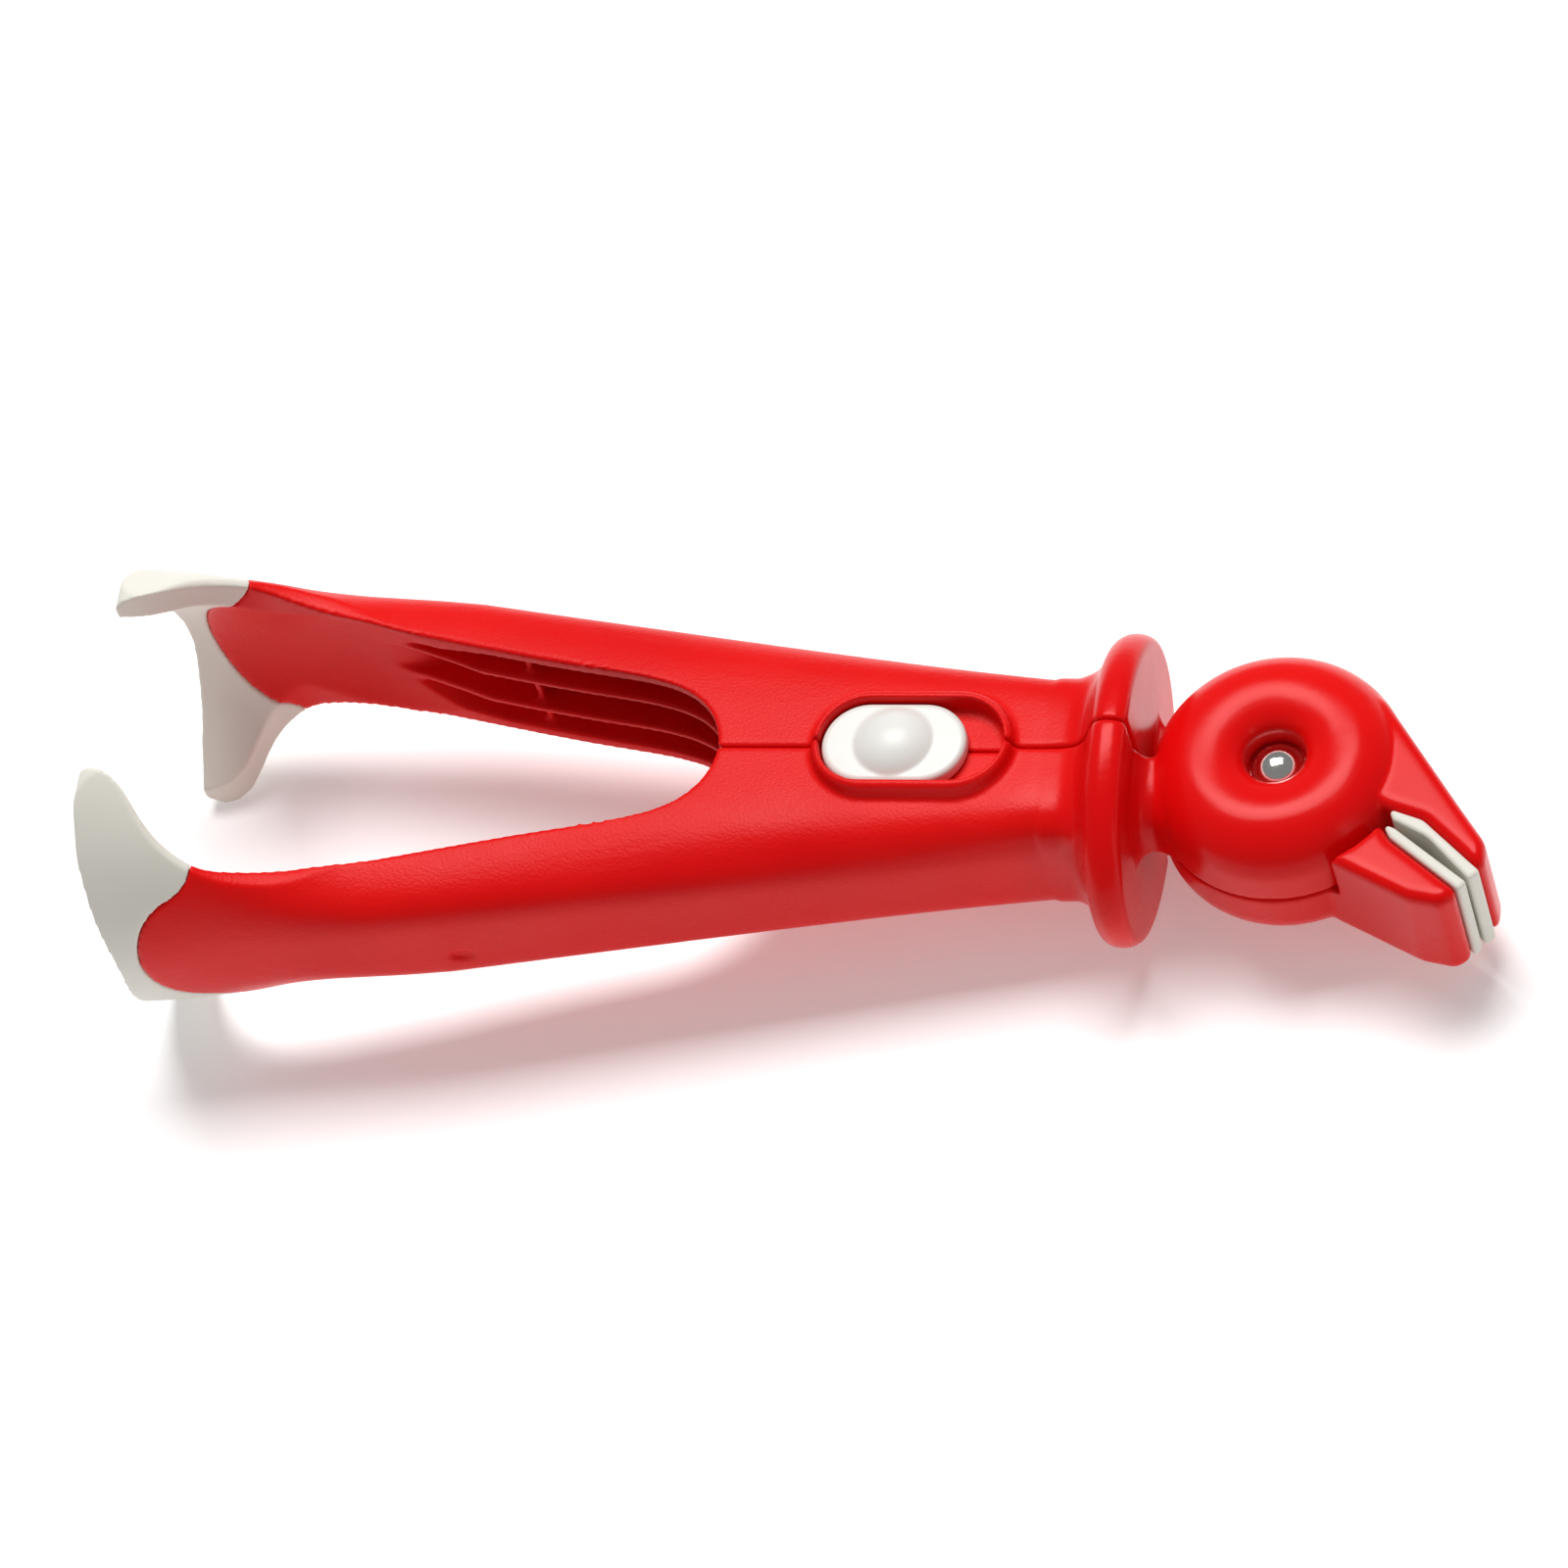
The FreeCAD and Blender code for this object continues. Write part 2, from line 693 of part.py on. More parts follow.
# x, y and corner radius
UPPER_JAW = [
    (7.0, 9.0, 2.0),
    (9.4, 13.9, 2.0),
    (14.6, 9.6, 4.0),
    (26.2, -7.2, 12.0),
    (30.6, -13.4, 4.0),
    (30.6, -18.4, 0.9),
    (21.6, -9.9, 3.0),
    (16.4, -8.1, 0.7),
    (9.0, -4.0, 2.0),
]
LOWER_JAW = [
    (9.0, -8.0, 2.0),
    (15.6, -10.4, 0.7),
    (17.3, -13.0, 1.6),
    (27.9, -21.6, 1.2),
    (25.2, -23.6, 1.8),
    (20.4, -22.6, 3.0),
    (7.6, -15.9, 0.8),
    (4.0, -9.0, 2.0),
]
UPPER_PAD = [
    (16.6, -8.15, 0.4),
    (21.6, -9.95, 3.0),
    (30.3, -18.2, 0.5),
    (28.9, -19.6, 0.5),
    (22.4, -12.7, 6.0),
    (17.4, -10.0, 0.5),
]
LOWER_PAD = [
    (15.9, -10.5, 0.4),
    (17.8, -11.3, 0.8),
    (28.6, -19.9, 0.5),
    (27.6, -21.3, 0.5),
    (17.3, -12.95, 1.6),
]
PAD_SETBACK = 0.3
PAD_EDGE = 0.5


def jaw_pad(corners):
    half = dim("jaw_half_depth") - PAD_SETBACK
    block = rounded_outline(corners, -half).extrude(Vector(0, 0, 2 * half))
    return block.makeFillet(PAD_EDGE, edges_at(block, half) + edges_at(block, -half))


def neck():
    """The bridge from the lower half of the flange to the front disc."""
    quarter = box((-FAR, -FAR, SEAM), (FAR, -SEAM, FAR))
    return loft(NECK, NECK_STEP, True).common(quarter)


# ---------------------------------------------------------------- levers and foot grips

grip = make_grip()
lower_half = box((-FAR * 4, -FAR, -FAR), (FAR * 4, -SEAM, FAR))
upper_half = box((-FAR * 4, SEAM, -FAR), (FAR * 4, FAR, FAR))
foot_side = grip_cutter()
core_ring = Part.makeCylinder(dim("foot_core_outer"), 30, Vector(-180, 0, 0), Vector(1, 0, 0)).cut(
    Part.makeCylinder(dim("foot_core_inner"), 30, Vector(-180, 0, 0), Vector(1, 0, 0))
)
core_depth = dim("foot_core_half_depth")
core_ring = core_ring.common(box((dim("foot_core_end_x"), -FAR, -core_depth), (-149.5, FAR, core_depth)))


def split_leg(half_space):
    """One half of the grip, as its red leg with a core for the foot grip, and the foot grip."""
    leg = grip.common(half_space)
    foot = leg.common(foot_side)
    core = foot.common(core_ring)
    red = leg.cut(foot_side).fuse(core)
    return red, foot.cut(core_ring)


front_rod = rod(dim("jaw_clearance_radius"), -SEAM, FAR)
rear_rod = rod(dim("jaw_clearance_radius"), -FAR, SEAM)
disc = head_disc()
lower_leg, lower_foot = split_leg(lower_half)
upper_leg, upper_foot = split_leg(upper_half)

slot = box(
    (dim("slot_back_x"), dim("slot_far_y"), 0.0),
    (dim("slot_front_x"), dim("slot_near_y"), DEPTH),
)
slot = slot.cut(box((-FAR * 2, -FAR, 0), (0, FAR, dim("rib_offset") + 1)))
groove_radius = dim("ball_radius") + BALL_GAP
groove_start = Vector(dim("button_centre_x"), dim("detent_offset_y"), dim("ball_centre_z"))
groove_end = groove_start + Vector(dim("slider_travel"), 0, 0)
groove = Part.makeCylinder(groove_radius, dim("slider_travel"), groove_start, Vector(1, 0, 0))
groove = groove.fuse([Part.makeSphere(groove_radius, place) for place in (groove_start, groove_end)])

front_seat = rod(dim("washer_seat_radius"), 0, dim("washer_half_thickness"))
front_lever_shape = lower_leg.fuse([neck(), disc, jaw(UPPER_JAW, rear_rod)])
front_lever_shape = front_lever_shape.cut(head_hollows() + [front_seat, slot, groove, leg_dimple()])

rear_seat = rod(dim("washer_seat_radius"), -dim("washer_seat_depth"), 0)
pin_hole = rod(
    dim("pin_radius") + PIN_GAP,
    dim("pin_base_z"),
    dim("pin_base_z") + dim("pin_length"),
    dim("pin_centre_x"),
    dim("pin_centre_y"),
)
rear_lever_shape = upper_leg.fuse([flipped(neck()), flipped(disc), jaw(LOWER_JAW, front_rod)])
rear_lever_shape = rear_lever_shape.cut([flipped(hole) for hole in head_hollows()] + [rear_seat, pin_hole])

computed("front_lever", front_lever_shape.removeSplitter())
computed("rear_lever", rear_lever_shape.removeSplitter())
computed("lower_foot_grip", lower_foot)
computed("upper_foot_grip", upper_foot)
computed("upper_jaw_pad", jaw_pad(UPPER_PAD).cut(rear_rod))
computed("lower_jaw_pad", jaw_pad(LOWER_PAD).cut(front_rod))

# ---------------------------------------------------------------- pivot

rivet = new_body("pivot_rivet")
spin(rivet, "rivet_turned", [
    ("0", "rivet_tail_z"), ("rivet_radius", "rivet_tail_z"), ("rivet_radius", "rivet_head_z"),
    ("rivet_head_radius", "rivet_head_z"), ("rivet_head_radius", "rivet_rim_z"), ("0", "rivet_rim_z"),
])
add_dome(rivet, "rivet_dome", "rivet_dome_radius", "rivet_dome_angle", "rivet_dome_centre_z")

cap = new_body("rivet_cap")
spin(cap, "cap_turned", [
    ("0", "cap_bore_z"), ("rivet_bore_radius", "cap_bore_z"), ("rivet_bore_radius", "cap_base_z"),
    ("rivet_head_radius", "cap_base_z"), ("rivet_head_radius", "cap_rim_z"), ("0", "cap_rim_z"),
])
add_dome(cap, "cap_dome", "rivet_dome_radius", "rivet_dome_angle", "cap_dome_centre_z", True)

washer = new_body("disc_washer")
spin(washer, "washer_turned", [
    ("washer_inner_radius", "-washer_half_thickness"), ("washer_outer_radius", "-washer_half_thickness"),
    ("washer_outer_radius", "washer_half_thickness"), ("washer_inner_radius", "washer_half_thickness"),
])


def helix_edges(radius, pitch, height, base_z, count):
    """A helix about Z that starts over the +X axis, in equal spans end to end."""
    climb = height / count
    edges = []
    for span in range(count):
        helix = Part.makeHelix(pitch, climb, radius)
        helix.rotate(Vector(0, 0, 0), Vector(0, 0, 1), 360 * span * climb / pitch)
        helix.translate(Vector(0, 0, base_z + span * climb))
        edges.append(helix.Edges[0])
    return edges


def wire_along(path, start, heading, wire_radius):
    """Round wire swept along a path."""
    ring = Part.Wire([Part.Circle(start, heading, wire_radius).toShape()])
    return Part.Wire(path).makePipeShell([ring], True, False)


def opening_spring():
    """Torsion spring round the rivet; each end bends square to stand in a hole of one disc."""
    height = dim("spring_half_height")
    radius = dim("spring_radius")
    bend = dim("spring_bend_radius")
    climb = math.atan(dim("spring_pitch") / (math.tau * radius))
    half_turn = (math.pi / 2 - climb) / 2
    coil_end = Vector(radius, 0, -height)
    centre = coil_end + Vector(0, math.sin(climb), -math.cos(climb)) * bend
    bend_end = centre - Vector(0, bend, 0)
    bend_middle = centre + Vector(0, -math.cos(half_turn), math.sin(half_turn)) * bend
    tip = Vector(radius, bend_end.y, -height - dim("spring_tail"))
    low = [tip, bend_end, bend_middle, coil_end]
    high = [Vector(point.x, -point.y, -point.z) for point in low]
    path = [
        Part.LineSegment(low[0], low[1]).toShape(),
        Part.Arc(low[1], low[2], low[3]).toShape(),
        *helix_edges(radius, dim("spring_pitch"), 2 * height, -height, SPRING_SPANS),
        Part.Arc(high[3], high[2], high[1]).toShape(),
        Part.LineSegment(high[1], high[0]).toShape(),
    ]
    return wire_along(path, tip, Vector(0, 0, 1), dim("spring_wire_radius"))


computed("opening_spring", opening_spring())

# ---------------------------------------------------------------- thumb slider


def draw_stadium(sketch, length, width):
    """A long hole's outline about the sketch origin, its size bound to two cells."""
    radius = dim(width) / 2
    reach = dim(length) / 2 - radius
    up = Vector(0, 0, 1)
    quarter = math.pi / 2
    right = Part.ArcOfCircle(Part.Circle(Vector(reach, 0, 0), up, radius), -quarter, quarter)
    left = Part.ArcOfCircle(Part.Circle(Vector(-reach, 0, 0), up, radius), quarter, 3 * quarter)
    top = Part.LineSegment(Vector(reach, radius, 0), Vector(-reach, radius, 0))
    bottom = Part.LineSegment(Vector(-reach, -radius, 0), Vector(reach, -radius, 0))
    for shape in (right, top, left, bottom):
        sketch.addGeometry(shape, False)
    for first, first_end, second, second_end in ((0, 2, 1, 1), (1, 2, 2, 1), (2, 2, 3, 1), (3, 2, 0, 1)):
        sketch.addConstraint(Sketcher.Constraint("Tangent", first, first_end, second, second_end))
    sketch.addConstraint(Sketcher.Constraint("Symmetric", 0, 3, 2, 3, -1, 1))
    sketch.addConstraint(Sketcher.Constraint("PointOnObject", 0, 3, -1))
    radius_index = sketch.addConstraint(Sketcher.Constraint("Radius", 0, radius))
    sketch.setExpression(f"Constraints[{radius_index}]", f"Sizes.{width} / 2")
    spread = sketch.addConstraint(Sketcher.Constraint("DistanceX", 2, 3, 0, 3, 2 * reach))
    sketch.setExpression(f"Constraints[{spread}]", f"Sizes.{length} - Sizes.{width}")


button = new_body("slider_button", Vector(dim("button_centre_x"), 0, dim("button_base_z")))
plate_sketch = new_sketch(button, "button_outline")
draw_stadium(plate_sketch, "button_length", "button_width")
plate = pad(button, "button_plate", plate_sketch, "button_thickness")
doc.recompute()
top_edges = []
for index, edge in enumerate(plate.Shape.Edges, start=1):
    flat = edge.BoundBox.ZMax - edge.BoundBox.ZMin < 1e-3
    if flat and abs(edge.BoundBox.ZMax - dim("button_thickness")) < 1e-3:
        top_edges.append(f"Edge{index}")
edge_round = button.newObject("PartDesign::Fillet", "button_edge")
edge_round.Base = (plate, top_edges)
edge_round.setExpression("Radius", "Sizes.button_round")
add_dome(button, "button_dome", "button_dome_radius", "button_dome_angle", "-button_dome_drop")
add_primitive(
    button, "AdditiveBox", "button_stem", ("stem_left", "stem_far", "-stem_depth"),
    Length="stem_length", Width="stem_width", Height="stem_height",
)
add_primitive(
    button, "SubtractiveCylinder", "stem_bore", ("screw_offset_x", "screw_offset_y", "-stem_depth"),
    Radius="screw_hole_radius", Height="screw_hole_depth",
)
add_primitive(
    button, "SubtractiveCylinder", "detent_bore", ("detent_offset_x", "detent_offset_y", "0"),
    Radius="detent_bore_radius", Height="detent_bore_depth",
)

keeper = new_body("slider_keeper", Vector(dim("button_centre_x"), 0, dim("keeper_base_z")))
add_primitive(
    keeper, "AdditiveBox", "keeper_plate", ("keeper_left", "keeper_far", "0"),
    Length="keeper_length", Width="keeper_width", Height="keeper_thickness",
)
add_primitive(
    keeper, "SubtractiveCylinder", "keeper_hole", ("screw_offset_x", "screw_offset_y", "0"),
    Radius="keeper_hole_radius", Height="keeper_thickness",
)

SCREW_AXIS = Vector(dim("button_centre_x") + dim("screw_offset_x"), dim("screw_offset_y"), 0)
screw = new_body("keeper_screw", SCREW_AXIS)
spin(screw, "screw_turned", [
    ("0", "screw_tip_z"), ("screw_radius", "screw_tip_z"), ("screw_radius", "screw_head_top_z"),
    ("screw_head_radius", "screw_head_top_z"), ("screw_head_radius", "screw_head_base_z"),
    ("screw_socket_radius", "screw_head_base_z"), ("screw_socket_radius", "screw_socket_z"),
    ("0", "screw_socket_z"),
])

# spring-steel clip under the keeper; its two arms close round the catch pin
latch = new_body("latch_clip", Vector(0, 0, dim("latch_base_z")))
latch_sketch = new_sketch(latch, "latch_outline")
draw_outline(latch_sketch, [
    ("latch_web_right", "latch_tab_low"), ("latch_tab_right", "latch_tab_low"),
    ("latch_tab_right", "latch_tab_high"), ("latch_web_right", "latch_tab_high"),
    ("latch_web_right", "latch_arm_outer_high"), ("latch_arm_tip", "latch_arm_outer_high"),
    ("latch_arm_tip", "latch_arm_inner_high"), ("latch_web_left", "latch_arm_inner_high"),
    ("latch_web_left", "latch_arm_inner_low"), ("latch_arm_tip", "latch_arm_inner_low"),
    ("latch_arm_tip", "latch_arm_outer_low"), ("latch_web_left", "latch_arm_outer_low"),
    ("latch_web_left", "latch_tab_low"),
])
pad(latch, "latch_strip", latch_sketch, "latch_height")

pin = new_body("catch_pin", Vector(dim("pin_centre_x"), dim("pin_centre_y"), dim("pin_base_z")))
pin_sketch = new_sketch(pin, "pin_circle")
draw_circle(pin_sketch, "pin_radius")
pad(pin, "pin_rod", pin_sketch, "pin_length")

DETENT = Vector(dim("button_centre_x") + dim("detent_offset_x"), dim("detent_offset_y"), 0)
ball = doc.addObject("Part::Sphere", "detent_ball")
ball.Label = "detent_ball"
ball.setExpression("Radius", "Sizes.ball_radius")
ball.Placement = Placement(BASE + DETENT + Vector(0, 0, dim("ball_centre_z")), Rotation())

detent_path = helix_edges(
    dim("detent_coil_radius"), dim("detent_pitch"), dim("detent_coil_height"), dim("detent_coil_base_z"), 1
)
detent_start = Vector(dim("detent_coil_radius"), 0, dim("detent_coil_base_z"))
detent_coil = wire_along(detent_path, detent_start, Vector(0, 1, 0), dim("detent_wire_radius"))
computed("detent_spring", detent_coil, DETENT)

# ---------------------------------------------------------------- check and write

NODES = [
    "front_lever", "rear_lever", "upper_jaw_pad", "lower_jaw_pad", "upper_foot_grip", "lower_foot_grip",
    "pivot_rivet", "rivet_cap", "disc_washer", "opening_spring", "slider_button", "slider_keeper",
    "keeper_screw", "latch_clip", "catch_pin", "detent_ball", "detent_spring",
]

doc.recompute()
for item in doc.Objects:
    if "Invalid" in item.State or "Error" in item.State:
        raise RuntimeError(f"{item.Name} failed: {item.State}")
for label in NODES:
    shape = doc.getObjectsByLabel(label)[0].Shape
    if shape.isNull() or not shape.isValid() or not shape.Solids:
        raise RuntimeError(f"{label} has no sound shape")
    shape.exportStep(f"parts/{label}.step")
    print(f"{label}: {len(shape.Solids)} solid, {shape.Volume:.1f} mm3")
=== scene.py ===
import json
import math

import bpy
from mathutils import Matrix, Vector


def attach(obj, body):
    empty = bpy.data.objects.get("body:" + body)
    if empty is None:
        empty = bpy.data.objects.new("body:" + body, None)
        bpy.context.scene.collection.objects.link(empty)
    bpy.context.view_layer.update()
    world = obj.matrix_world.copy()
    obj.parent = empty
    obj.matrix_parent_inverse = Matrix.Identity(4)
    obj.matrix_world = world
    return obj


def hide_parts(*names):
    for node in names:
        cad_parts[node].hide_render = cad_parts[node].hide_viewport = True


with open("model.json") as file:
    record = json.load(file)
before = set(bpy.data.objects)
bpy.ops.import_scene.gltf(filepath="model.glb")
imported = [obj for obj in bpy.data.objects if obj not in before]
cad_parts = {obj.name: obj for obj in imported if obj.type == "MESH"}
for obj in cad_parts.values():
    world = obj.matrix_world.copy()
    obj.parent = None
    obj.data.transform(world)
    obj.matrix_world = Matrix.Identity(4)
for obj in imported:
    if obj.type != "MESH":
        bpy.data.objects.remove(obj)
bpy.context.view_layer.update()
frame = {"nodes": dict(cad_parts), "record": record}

MM = 0.001
JOINTS = {joint["name"]: joint for joint in frame["record"]["behaviour"]["joints"]}
SUBPARTS = {part["node"]: part for part in frame["record"]["subparts"]}
BODY_OF = {
    node: body for body, nodes in frame["record"]["behaviour"]["bodies"].items() for node in nodes
}

# The tool's own axes: pivot centre at the origin, +X to the beak, +Z out of the slider side.
PIVOT = Vector(JOINTS["lever"]["pos_m"])


def place(x, y, z):
    """A point given in millimetres from the pivot, as metres in the frame."""
    return PIVOT + Vector((x, y, z)) * MM


def set_inputs(node, values):
    """Set a node's sockets by name."""
    for socket, value in values.items():
        node.inputs[socket].default_value = value


# ---------------------------------------------------------------- camera

CAMERA_AIM = place(-71.82, 0.76, 0.0)
CAMERA_DISTANCE = 1183.2 * MM
CAMERA_PITCH = math.radians(32.74)
CAMERA_SWING = math.radians(14.55)
CAMERA_ROLL = math.radians(0.28)
FOCAL_LENGTH_MM = 193.1
SENSOR_WIDTH_MM = 36
CLIP_START = 0.05
CLIP_END = 20


def add_camera():
    """A long lens above the slider side, leaning over towards the lower leg and the beak."""
    back = Vector((
        math.sin(CAMERA_SWING),
        -math.sin(CAMERA_PITCH) * math.cos(CAMERA_SWING),
        math.cos(CAMERA_PITCH) * math.cos(CAMERA_SWING),
    ))
    level_up = Vector((0, math.cos(CAMERA_PITCH), math.sin(CAMERA_PITCH)))
    level_right = level_up.cross(back)
    right = math.cos(CAMERA_ROLL) * level_right + math.sin(CAMERA_ROLL) * level_up
    up = math.cos(CAMERA_ROLL) * level_up - math.sin(CAMERA_ROLL) * level_right
    lens = bpy.data.cameras.new("camera")
    lens.lens = FOCAL_LENGTH_MM
    lens.sensor_width = SENSOR_WIDTH_MM
    lens.clip_start = CLIP_START
    lens.clip_end = CLIP_END
    camera = bpy.data.objects.new("camera", lens)
    turn = Matrix((right, up, back)).transposed().to_4x4()
    camera.matrix_world = Matrix.Translation(CAMERA_AIM + back * CAMERA_DISTANCE) @ turn
    bpy.context.scene.collection.objects.link(camera)
    bpy.context.scene.camera = camera


add_camera()

# ---------------------------------------------------------------- floor and light

FLOOR_WIDTH = 12
FLOOR_AT_FEET = place(-163.5, 0, -27.1)
FLOOR_AT_COLLAR = place(-23.0, 0, -18.65)
LIT_POINT = place(-70, 0, 0)
WORLD_STRENGTH = 0.26


def add_floor():
    """A pale table top, tilted to run just under both the feet and the collar of the lying tool."""
    rise = FLOOR_AT_COLLAR - FLOOR_AT_FEET
    slope = math.atan2(rise.z, rise.x)
    bpy.ops.mesh.primitive_plane_add(size=FLOOR_WIDTH)
    floor = bpy.context.object
    floor.name = "table_top"
    floor.matrix_world = Matrix.Translation(FLOOR_AT_FEET) @ Matrix.Rotation(-slope, 4, "Y")
    material = bpy.data.materials.new("pale_table")
    material.use_nodes = True
    set_inputs(material.node_tree.nodes["Principled BSDF"], {
        "Base Color": (0.98, 0.98, 0.98, 1),
        "Roughness": 0.85,
        "Specular IOR Level": 0.1,
        "Emission Color": (1, 1, 1, 1),
        "Emission Strength": 0.22,
    })
    floor.data.materials.append(material)


def add_area_light(name, offset, size, watts):
    """A rectangular lamp, offset in metres from the middle of the tool and turned to it."""
    lamp = bpy.data.lights.new(name, "AREA")
    lamp.shape = "RECTANGLE"
    lamp.size, lamp.size_y = size
    lamp.energy = watts
    holder = bpy.data.objects.new(name, lamp)
    holder.location = LIT_POINT + Vector(offset)
    holder.rotation_euler = (LIT_POINT - holder.location).to_track_quat("-Z", "Y").to_euler()
    bpy.context.scene.collection.objects.link(holder)


def add_world():
    """An even white surround, shown through the plain view transform."""
    world = bpy.data.worlds.new("studio")
    world.use_nodes = True
    set_inputs(world.node_tree.nodes["Background"], {
        "Color": (1, 1, 1, 1),
        "Strength": WORLD_STRENGTH,
    })
    bpy.context.scene.world = world
    bpy.context.scene.view_settings.view_transform = "Standard"


add_floor()
add_area_light("key", offset=(-0.1, 0.5, 1.3), size=(0.9, 0.6), watts=19.8)
add_area_light("fill", offset=(0.9, -0.5, 0.35), size=(0.12, 0.5), watts=0.5)
add_world()

# ---------------------------------------------------------------- materials

# The part of a noise's range that colours and roughness are spread over.
NOISE_LOW = 0.3
NOISE_HIGH = 0.7

# The red's spark texture fades between these distances from the pivot, in millimetres.
TEXTURE_FADE = (-40, -26)
TEXTURE_LEFT_ON_HEAD = 0.12


class Finish:
    """A principled material with its object coordinates and shader to hand."""

    def __init__(self, name, roughness, metallic=0.0):
        self.material = bpy.data.materials.new(name)
        self.material.use_nodes = True
        self.tree = self.material.node_tree
        self.shader = self.tree.nodes["Principled BSDF"]
        set_inputs(self.shader, {"Roughness": roughness, "Metallic": metallic})
        self.spot = self.tree.nodes.new("ShaderNodeTexCoord").outputs["Object"]

    def link(self, source, socket):
        self.tree.links.new(source, socket)

    def noise(self, scale, detail, stretch=(1, 1, 1)):
        mapping = self.tree.nodes.new("ShaderNodeMapping")
        set_inputs(mapping, {"Scale": stretch})
        self.link(self.spot, mapping.inputs["Vector"])
        node = self.tree.nodes.new("ShaderNodeTexNoise")
        set_inputs(node, {"Scale": scale, "Detail": detail})
        self.link(mapping.outputs["Vector"], node.inputs["Vector"])
        return node.outputs["Fac"]

    def spread(self, source, low, high, start=NOISE_LOW, end=NOISE_HIGH):
        """The source's range from start to end, drawn out to the range from low to high."""
        node = self.tree.nodes.new("ShaderNodeMapRange")
        set_inputs(node, {"From Min": start, "From Max": end, "To Min": low, "To Max": high})
        self.link(source, node.inputs["Value"])
        return node.outputs["Result"]

    def combine(self, operation, first, second):
        node = self.tree.nodes.new("ShaderNodeMath")
        node.operation = operation
        self.link(first, node.inputs[0])
        self.link(second, node.inputs[1])
        return node.outputs["Value"]

    def along(self, start, end):
        """0 to 1 along the tool, between two distances from the pivot in millimetres."""
        split = self.tree.nodes.new("ShaderNodeSeparateXYZ")
        self.link(self.spot, split.inputs["Vector"])
        node = self.tree.nodes.new("ShaderNodeMapRange")
        node.interpolation_type = "SMOOTHSTEP"
        set_inputs(node, {"From Min": place(start, 0, 0).x, "From Max": place(end, 0, 0).x})
        self.link(split.outputs["X"], node.inputs["Value"])
        return node.outputs["Result"]

    def colours(self, source, dark, light):
        ramp = self.tree.nodes.new("ShaderNodeValToRGB")
        first, last = ramp.color_ramp.elements
        first.position = NOISE_LOW
        first.color = (*dark, 1)
        last.position = NOISE_HIGH
        last.color = (*light, 1)
        self.link(source, ramp.inputs["Fac"])
        self.link(ramp.outputs["Color"], self.shader.inputs["Base Color"])

    def roughness(self, source):
        self.link(source, self.shader.inputs["Roughness"])

    def bumps(self, source, strength, depth):
        node = self.tree.nodes.new("ShaderNodeBump")
        set_inputs(node, {"Strength": strength, "Distance": depth})
        self.link(source, node.inputs["Height"])
        self.link(node.outputs["Normal"], self.shader.inputs["Normal"])


def red_plastic():
    """Moulded red plastic: spark-textured legs, glossier collar, head and jaws."""
    finish = Finish("red_plastic", roughness=0.35)
    set_inputs(finish.shader, {
        "Specular IOR Level": 0.25,
        "Specular Tint": (1.0, 0.5, 0.5, 1),
    })
    patches = finish.noise(scale=30, detail=3)
    finish.colours(patches, dark=(0.68, 0.002, 0.003), light=(0.76, 0.005, 0.004))
    texture = finish.spread(
        finish.along(*TEXTURE_FADE), low=1.0, high=TEXTURE_LEFT_ON_HEAD, start=0.0, end=1.0,
    )
    handling = finish.spread(finish.noise(scale=70, detail=4), low=0.02, high=0.10)
    matting = finish.spread(texture, low=0.20, high=0.34, start=TEXTURE_LEFT_ON_HEAD, end=1.0)
    finish.roughness(finish.combine("ADD", handling, matting))
    grain = finish.noise(scale=2400, detail=2)
    finish.bumps(finish.combine("MULTIPLY", grain, texture), strength=0.7, depth=0.08 * MM)
    return finish.material


def white_grip():
    """Warm white thermoplastic rubber with a fine matt skin."""
    finish = Finish("white_grip", roughness=0.55)
    set_inputs(finish.shader, {
        "Subsurface Weight": 0.12,
        "Subsurface Radius": (1.0, 0.8, 0.6),
        "Subsurface Scale": 1.2 * MM,
    })
    patches = finish.noise(scale=45, detail=4)
    finish.colours(patches, dark=(0.70, 0.675, 0.60), light=(0.76, 0.735, 0.665))
    finish.roughness(finish.spread(finish.noise(scale=120, detail=5), low=0.48, high=0.64))
    finish.bumps(finish.noise(scale=2200, detail=3), strength=0.35, depth=0.05 * MM)
    return finish.material


def satin_white(name, dark, light):
    """Hard white plastic with a satin skin."""
    finish = Finish(name, roughness=0.35)
    finish.colours(finish.noise(scale=60, detail=3), dark, light)
    finish.roughness(finish.spread(finish.noise(scale=150, detail=4), low=0.30, high=0.44))
    finish.bumps(finish.noise(scale=3200, detail=2), strength=0.25, depth=0.03 * MM)
    return finish.material


def metal(name, dark, light, smooth, rough, stretch, depth):
    """Bare metal with faint marks of its making, drawn out along the axes where stretch is small."""
    finish = Finish(name, roughness=smooth, metallic=1.0)
    finish.colours(finish.noise(scale=200, detail=3), dark, light)
    marks = finish.noise(scale=900, detail=4, stretch=stretch)
    finish.roughness(finish.spread(marks, low=smooth, high=rough))
    finish.bumps(finish.noise(scale=2400, detail=3, stretch=stretch), strength=0.3, depth=depth)
    return finish.material


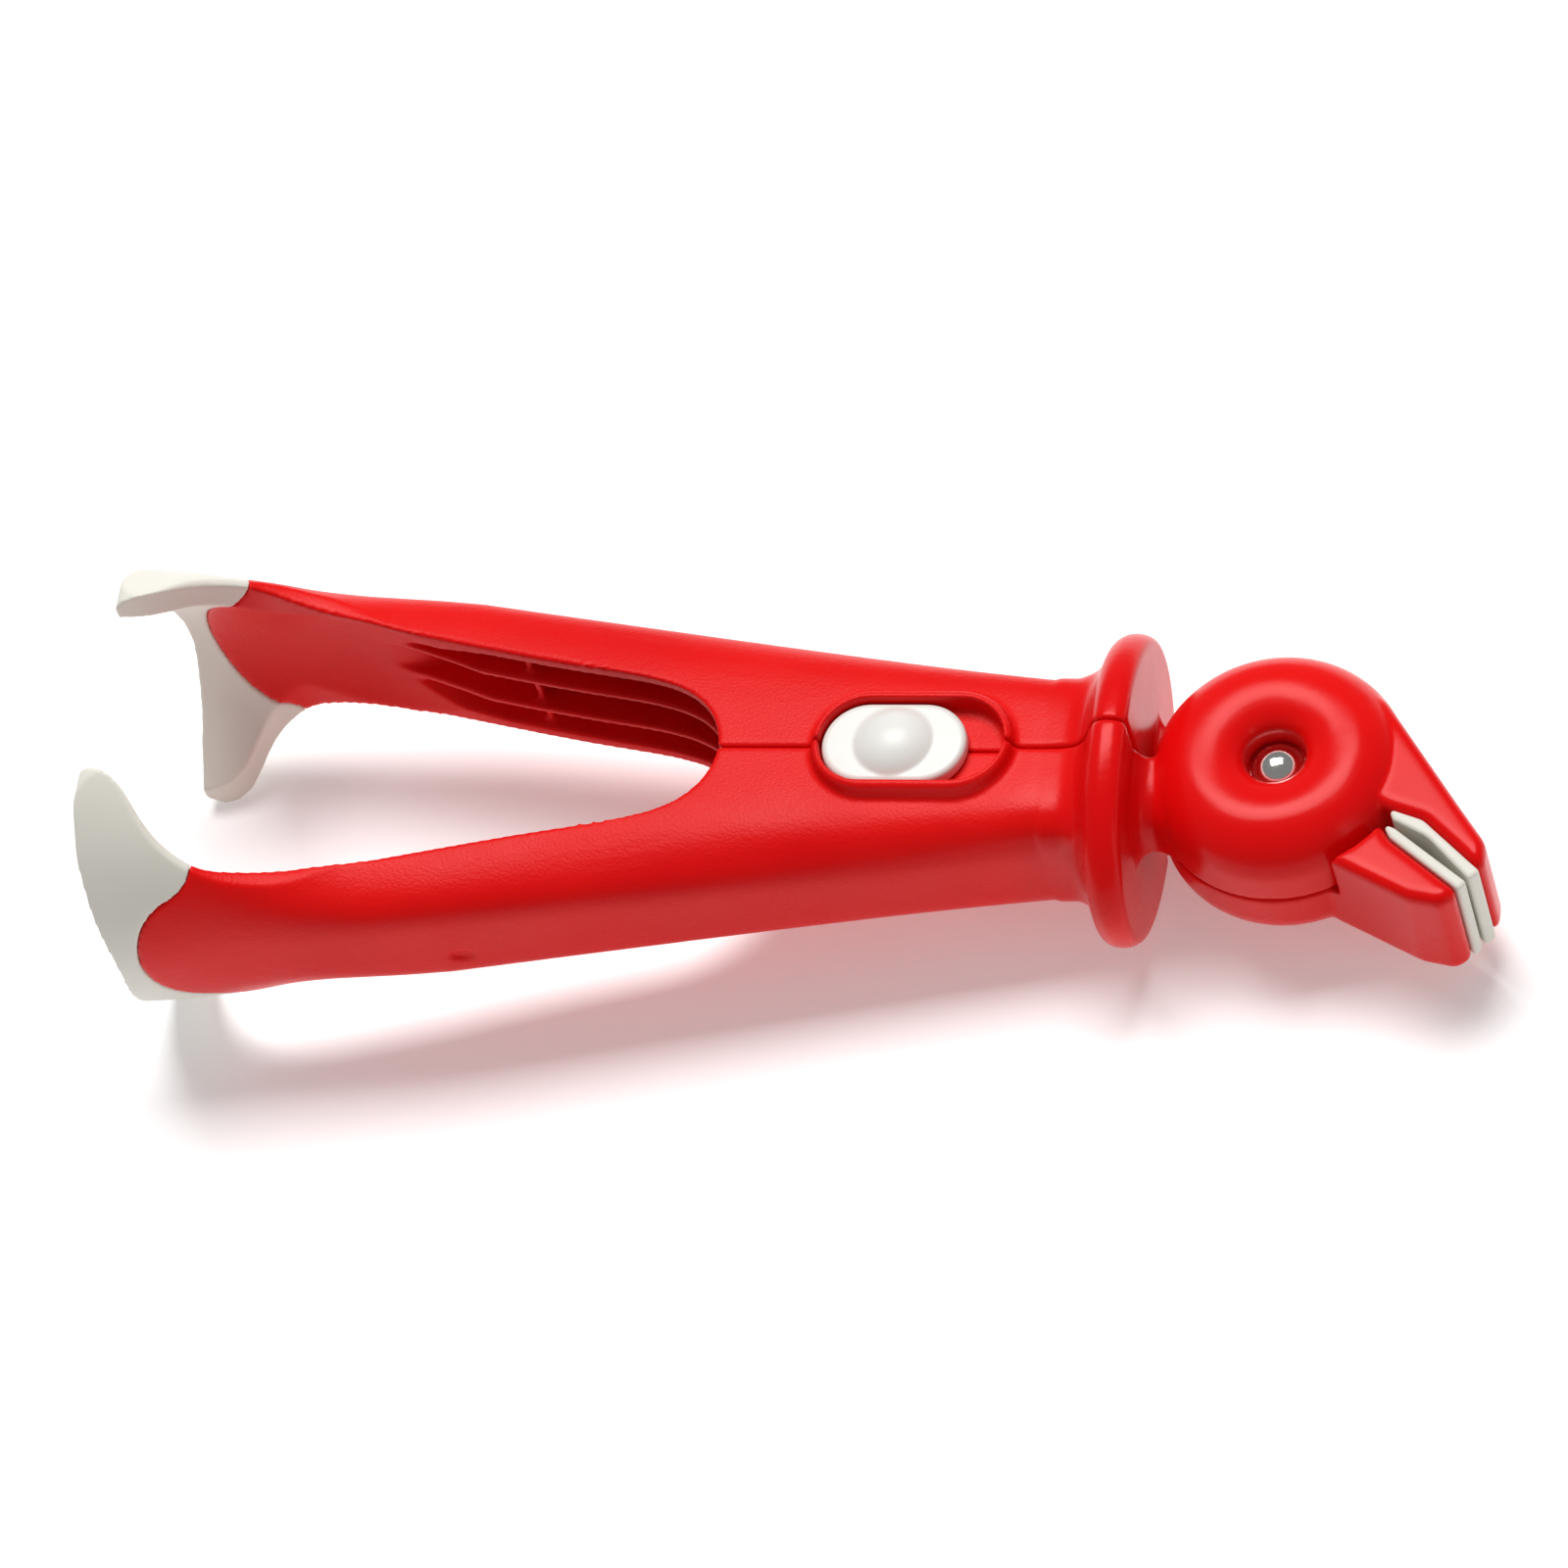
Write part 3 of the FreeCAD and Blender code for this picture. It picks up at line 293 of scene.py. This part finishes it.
MATERIALS = {
    "red_plastic": red_plastic(),
    "white_grip": white_grip(),
    "white_plastic": satin_white(
        "white_plastic", dark=(0.72, 0.71, 0.67), light=(0.77, 0.76, 0.72),
    ),
    "acetal": satin_white(
        "acetal", dark=(0.72, 0.72, 0.70), light=(0.78, 0.78, 0.76),
    ),
    "polished_steel": metal(
        "polished_steel", dark=(0.70, 0.69, 0.66), light=(0.78, 0.77, 0.74),
        smooth=0.06, rough=0.13, stretch=(1, 1, 1), depth=0.008 * MM,
    ),
    "spring_steel": metal(
        "spring_steel", dark=(0.40, 0.40, 0.41), light=(0.52, 0.52, 0.53),
        smooth=0.22, rough=0.38, stretch=(0.2, 0.2, 3), depth=0.02 * MM,
    ),
    "screw_steel": metal(
        "screw_steel", dark=(0.52, 0.52, 0.50), light=(0.66, 0.66, 0.63),
        smooth=0.25, rough=0.40, stretch=(3, 3, 0.3), depth=0.02 * MM,
    ),
}

# ---------------------------------------------------------------- pieces

# The pieces shown as smoothed copies: voxel size in millimetres, passes of smoothing.
MOULDED = {
    "front_lever": (0.34, 9), "rear_lever": (0.34, 9),
    "upper_foot_grip": (0.30, 5), "lower_foot_grip": (0.30, 5),
    "upper_jaw_pad": (0.20, 5), "lower_jaw_pad": (0.20, 5),
    "slider_button": (0.20, 4),
}
SMOOTHING_FACTOR = 0.5


def moulded(node, cell, passes):
    """A copy of a CAD piece with its hard edges rounded off, as moulding and trimming leave it."""
    name = node + "_moulded"
    source = frame["nodes"][node]
    piece = bpy.data.objects.new(name, source.data.copy())
    piece.matrix_world = source.matrix_world
    bpy.context.scene.collection.objects.link(piece)
    remesh = piece.modifiers.new("remesh", "REMESH")
    remesh.mode = "VOXEL"
    remesh.voxel_size = cell * MM
    remesh.use_smooth_shade = True
    soften = piece.modifiers.new("soften", "SMOOTH")
    soften.factor = SMOOTHING_FACTOR
    soften.iterations = passes
    evaluated = piece.evaluated_get(bpy.context.evaluated_depsgraph_get())
    mesh = bpy.data.meshes.new_from_object(evaluated)
    piece.modifiers.clear()
    piece.data = mesh
    mesh.name = name
    mesh.materials.clear()
    mesh.materials.append(MATERIALS[SUBPARTS[node]["material_slot"]])
    for polygon in mesh.polygons:
        polygon.use_smooth = True
    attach(piece, BODY_OF[node])
    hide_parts(node)


for node, (cell, passes) in MOULDED.items():
    moulded(node, cell, passes)

for node, piece in frame["nodes"].items():
    if node not in MOULDED:
        piece.data.materials.clear()
        piece.data.materials.append(MATERIALS[SUBPARTS[node]["material_slot"]])
